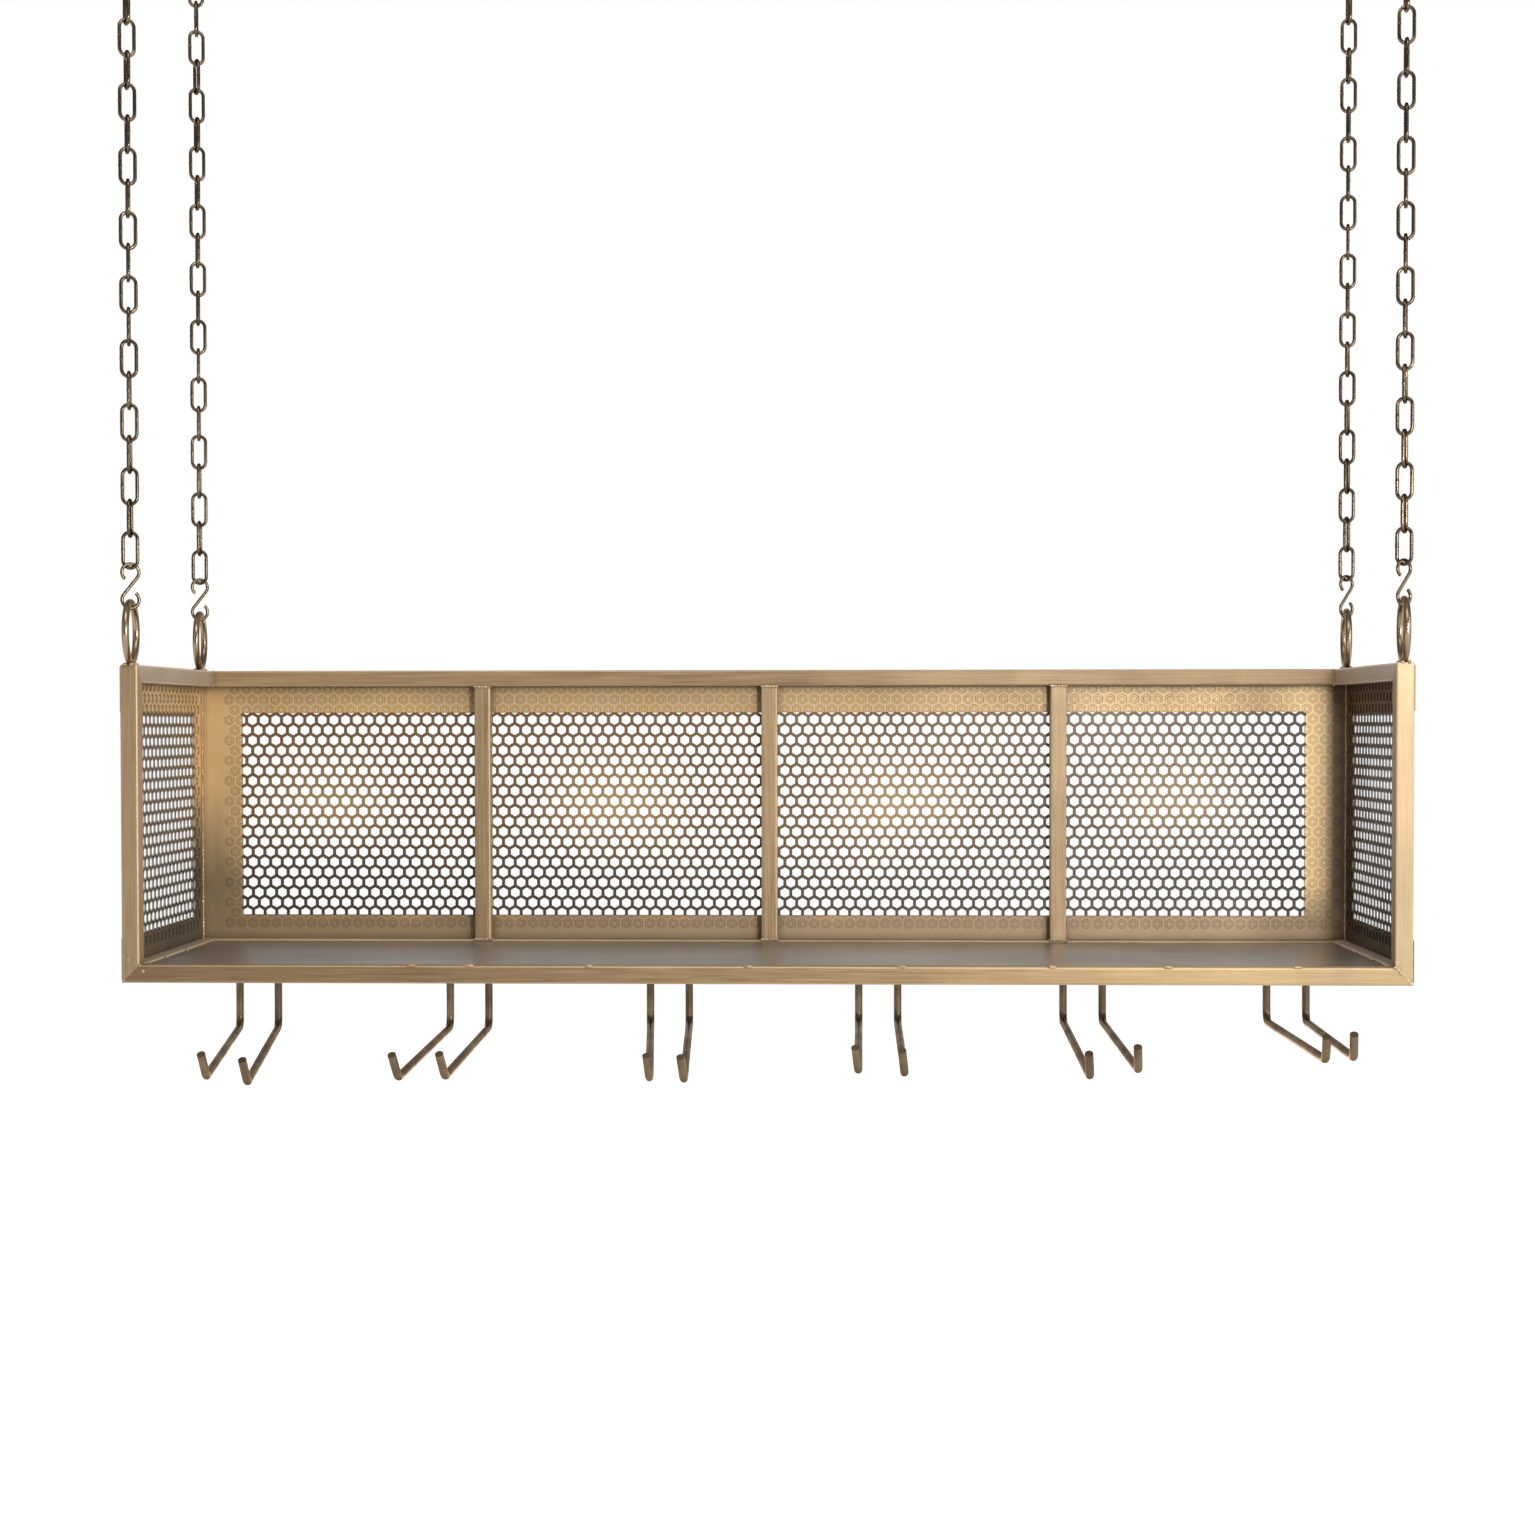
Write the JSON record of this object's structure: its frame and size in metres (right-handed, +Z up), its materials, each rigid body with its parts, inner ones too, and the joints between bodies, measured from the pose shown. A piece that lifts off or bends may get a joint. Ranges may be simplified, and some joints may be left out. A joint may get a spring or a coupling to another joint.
{
  "type": "hanging shelf with glass rods",
  "caption": "Open-front hanging shelf of brass-finished square tube and hex-perforated sheet, on corner chains with S hooks and ceiling screw hooks, with paired glass rods below.",
  "frame": {"origin": "centre of the four ceiling screws, in the plane of the ceiling", "axes": "+X to the right along the shelf, +Y from the open front to the back wall, +Z up"},
  "size_m": [0.9356, 0.2455, 0.9082],
  "materials": {
    "frame": "antique brass plating on welded steel tube, brushed",
    "perforated_sheet": "antique brass plating on perforated steel sheet",
    "floor": "brushed sheet, dull grey brown",
    "rods": "antique brass plating on round steel rod",
    "rings": "antique brass plating on round steel wire",
    "chain": "darkened brass plating on steel wire",
    "ceiling_fittings": "darkened brass plating on steel"
  },
  "bodies": {
    "ceiling_fixings": {"front_left_ceiling_hook": "ceiling_fittings", "front_right_ceiling_hook": "ceiling_fittings", "back_left_ceiling_hook": "ceiling_fittings", "back_right_ceiling_hook": "ceiling_fittings", "ceiling_plates": "ceiling_fittings", "hook_nuts": "ceiling_fittings"},
    "front_left_top_link_body": {"front_left_top_link": "chain"},
    "front_left_chain_body": {"front_left_chain": "chain"},
    "front_left_s_hook_body": {"front_left_s_hook": "chain"},
    "front_right_top_link_body": {"front_right_top_link": "chain"},
    "front_right_chain_body": {"front_right_chain": "chain"},
    "front_right_s_hook_body": {"front_right_s_hook": "chain"},
    "back_left_top_link_body": {"back_left_top_link": "chain"},
    "back_left_chain_body": {"back_left_chain": "chain"},
    "back_left_s_hook_body": {"back_left_s_hook": "chain"},
    "back_right_top_link_body": {"back_right_top_link": "chain"},
    "back_right_chain_body": {"back_right_chain": "chain"},
    "back_right_s_hook_body": {"back_right_s_hook": "chain"},
    "shelf": {"front_left_ring": "rings", "front_right_ring": "rings", "back_left_ring": "rings", "back_right_ring": "rings", "front_bottom_rail": "frame", "back_bottom_rail": "frame", "back_top_rail": "frame", "left_front_post": "frame", "left_top_rail": "frame", "left_bottom_rail": "frame", "right_front_post": "frame", "right_top_rail": "frame", "right_bottom_rail": "frame", "divider_1": "frame", "divider_2": "frame", "divider_3": "frame", "shelf_floor": "floor", "back_mesh": "perforated_sheet", "left_mesh": "perforated_sheet", "right_mesh": "perforated_sheet", "back_border_strips": "perforated_sheet", "left_border_strips": "perforated_sheet", "right_border_strips": "perforated_sheet", "glass_rod_1_left": "rods", "glass_rod_1_right": "rods", "glass_rod_2_left": "rods", "glass_rod_2_right": "rods", "glass_rod_3_left": "rods", "glass_rod_3_right": "rods", "glass_rod_4_left": "rods", "glass_rod_4_right": "rods", "glass_rod_5_left": "rods", "glass_rod_5_right": "rods", "glass_rod_6_left": "rods", "glass_rod_6_right": "rods"}
  },
  "joints": [
    {"name": "front_left_sway", "type": "hinge", "parent": "ceiling_fixings", "child": "front_left_top_link_body", "pos_m": [-0.45085, -0.08593, -0.037], "axis": [0, 1, 0], "range_deg": [-12, 12]},
    {"name": "front_left_swing", "type": "hinge", "parent": "front_left_top_link_body", "child": "front_left_chain_body", "pos_m": [-0.45085, -0.08593, -0.0585], "axis": [1, 0, 0], "range_deg": [-12, 12]},
    {"name": "front_left_hook_swing", "type": "hinge", "parent": "front_left_chain_body", "child": "front_left_s_hook_body", "pos_m": [-0.45085, -0.08593, -0.5125], "axis": [1, 0, 0], "range_deg": [-12, 12]},
    {"name": "front_right_sway", "type": "hinge", "parent": "ceiling_fixings", "child": "front_right_top_link_body", "pos_m": [0.45085, -0.08593, -0.037], "axis": [0, 1, 0], "range_deg": [-12, 12]},
    {"name": "front_right_swing", "type": "hinge", "parent": "front_right_top_link_body", "child": "front_right_chain_body", "pos_m": [0.45085, -0.08593, -0.0585], "axis": [1, 0, 0], "range_deg": [-12, 12]},
    {"name": "front_right_hook_swing", "type": "hinge", "parent": "front_right_chain_body", "child": "front_right_s_hook_body", "pos_m": [0.45085, -0.08593, -0.5125], "axis": [1, 0, 0], "range_deg": [-12, 12]},
    {"name": "back_left_sway", "type": "hinge", "parent": "ceiling_fixings", "child": "back_left_top_link_body", "pos_m": [-0.45085, 0.08593, -0.037], "axis": [0, 1, 0], "range_deg": [-12, 12]},
    {"name": "back_left_swing", "type": "hinge", "parent": "back_left_top_link_body", "child": "back_left_chain_body", "pos_m": [-0.45085, 0.08593, -0.0585], "axis": [1, 0, 0], "range_deg": [-12, 12]},
    {"name": "back_left_hook_swing", "type": "hinge", "parent": "back_left_chain_body", "child": "back_left_s_hook_body", "pos_m": [-0.45085, 0.08593, -0.5125], "axis": [1, 0, 0], "range_deg": [-12, 12]},
    {"name": "back_right_sway", "type": "hinge", "parent": "ceiling_fixings", "child": "back_right_top_link_body", "pos_m": [0.45085, 0.08593, -0.037], "axis": [0, 1, 0], "range_deg": [-12, 12]},
    {"name": "back_right_swing", "type": "hinge", "parent": "back_right_top_link_body", "child": "back_right_chain_body", "pos_m": [0.45085, 0.08593, -0.0585], "axis": [1, 0, 0], "range_deg": [-12, 12]},
    {"name": "back_right_hook_swing", "type": "hinge", "parent": "back_right_chain_body", "child": "back_right_s_hook_body", "pos_m": [0.45085, 0.08593, -0.5125], "axis": [1, 0, 0], "range_deg": [-12, 12]},
    {"name": "shelf_level", "type": "hinge", "parent": "front_left_s_hook_body", "child": "shelf", "pos_m": [-0.45085, -0.08593, -0.5369], "axis": [0, 1, 0], "range_deg": [-12, 12]}
  ],
  "couplings": [
    {"joint": "front_left_hook_swing", "follows": "front_left_swing", "ratio": -1},
    {"joint": "front_right_sway", "follows": "front_left_sway", "ratio": 1},
    {"joint": "front_right_swing", "follows": "front_left_swing", "ratio": 1},
    {"joint": "front_right_hook_swing", "follows": "front_left_swing", "ratio": -1},
    {"joint": "back_left_sway", "follows": "front_left_sway", "ratio": 1},
    {"joint": "back_left_swing", "follows": "front_left_swing", "ratio": 1},
    {"joint": "back_left_hook_swing", "follows": "front_left_swing", "ratio": -1},
    {"joint": "back_right_sway", "follows": "front_left_sway", "ratio": 1},
    {"joint": "back_right_swing", "follows": "front_left_swing", "ratio": 1},
    {"joint": "back_right_hook_swing", "follows": "front_left_swing", "ratio": -1},
    {"joint": "shelf_level", "follows": "front_left_sway", "ratio": -1}
  ]
}
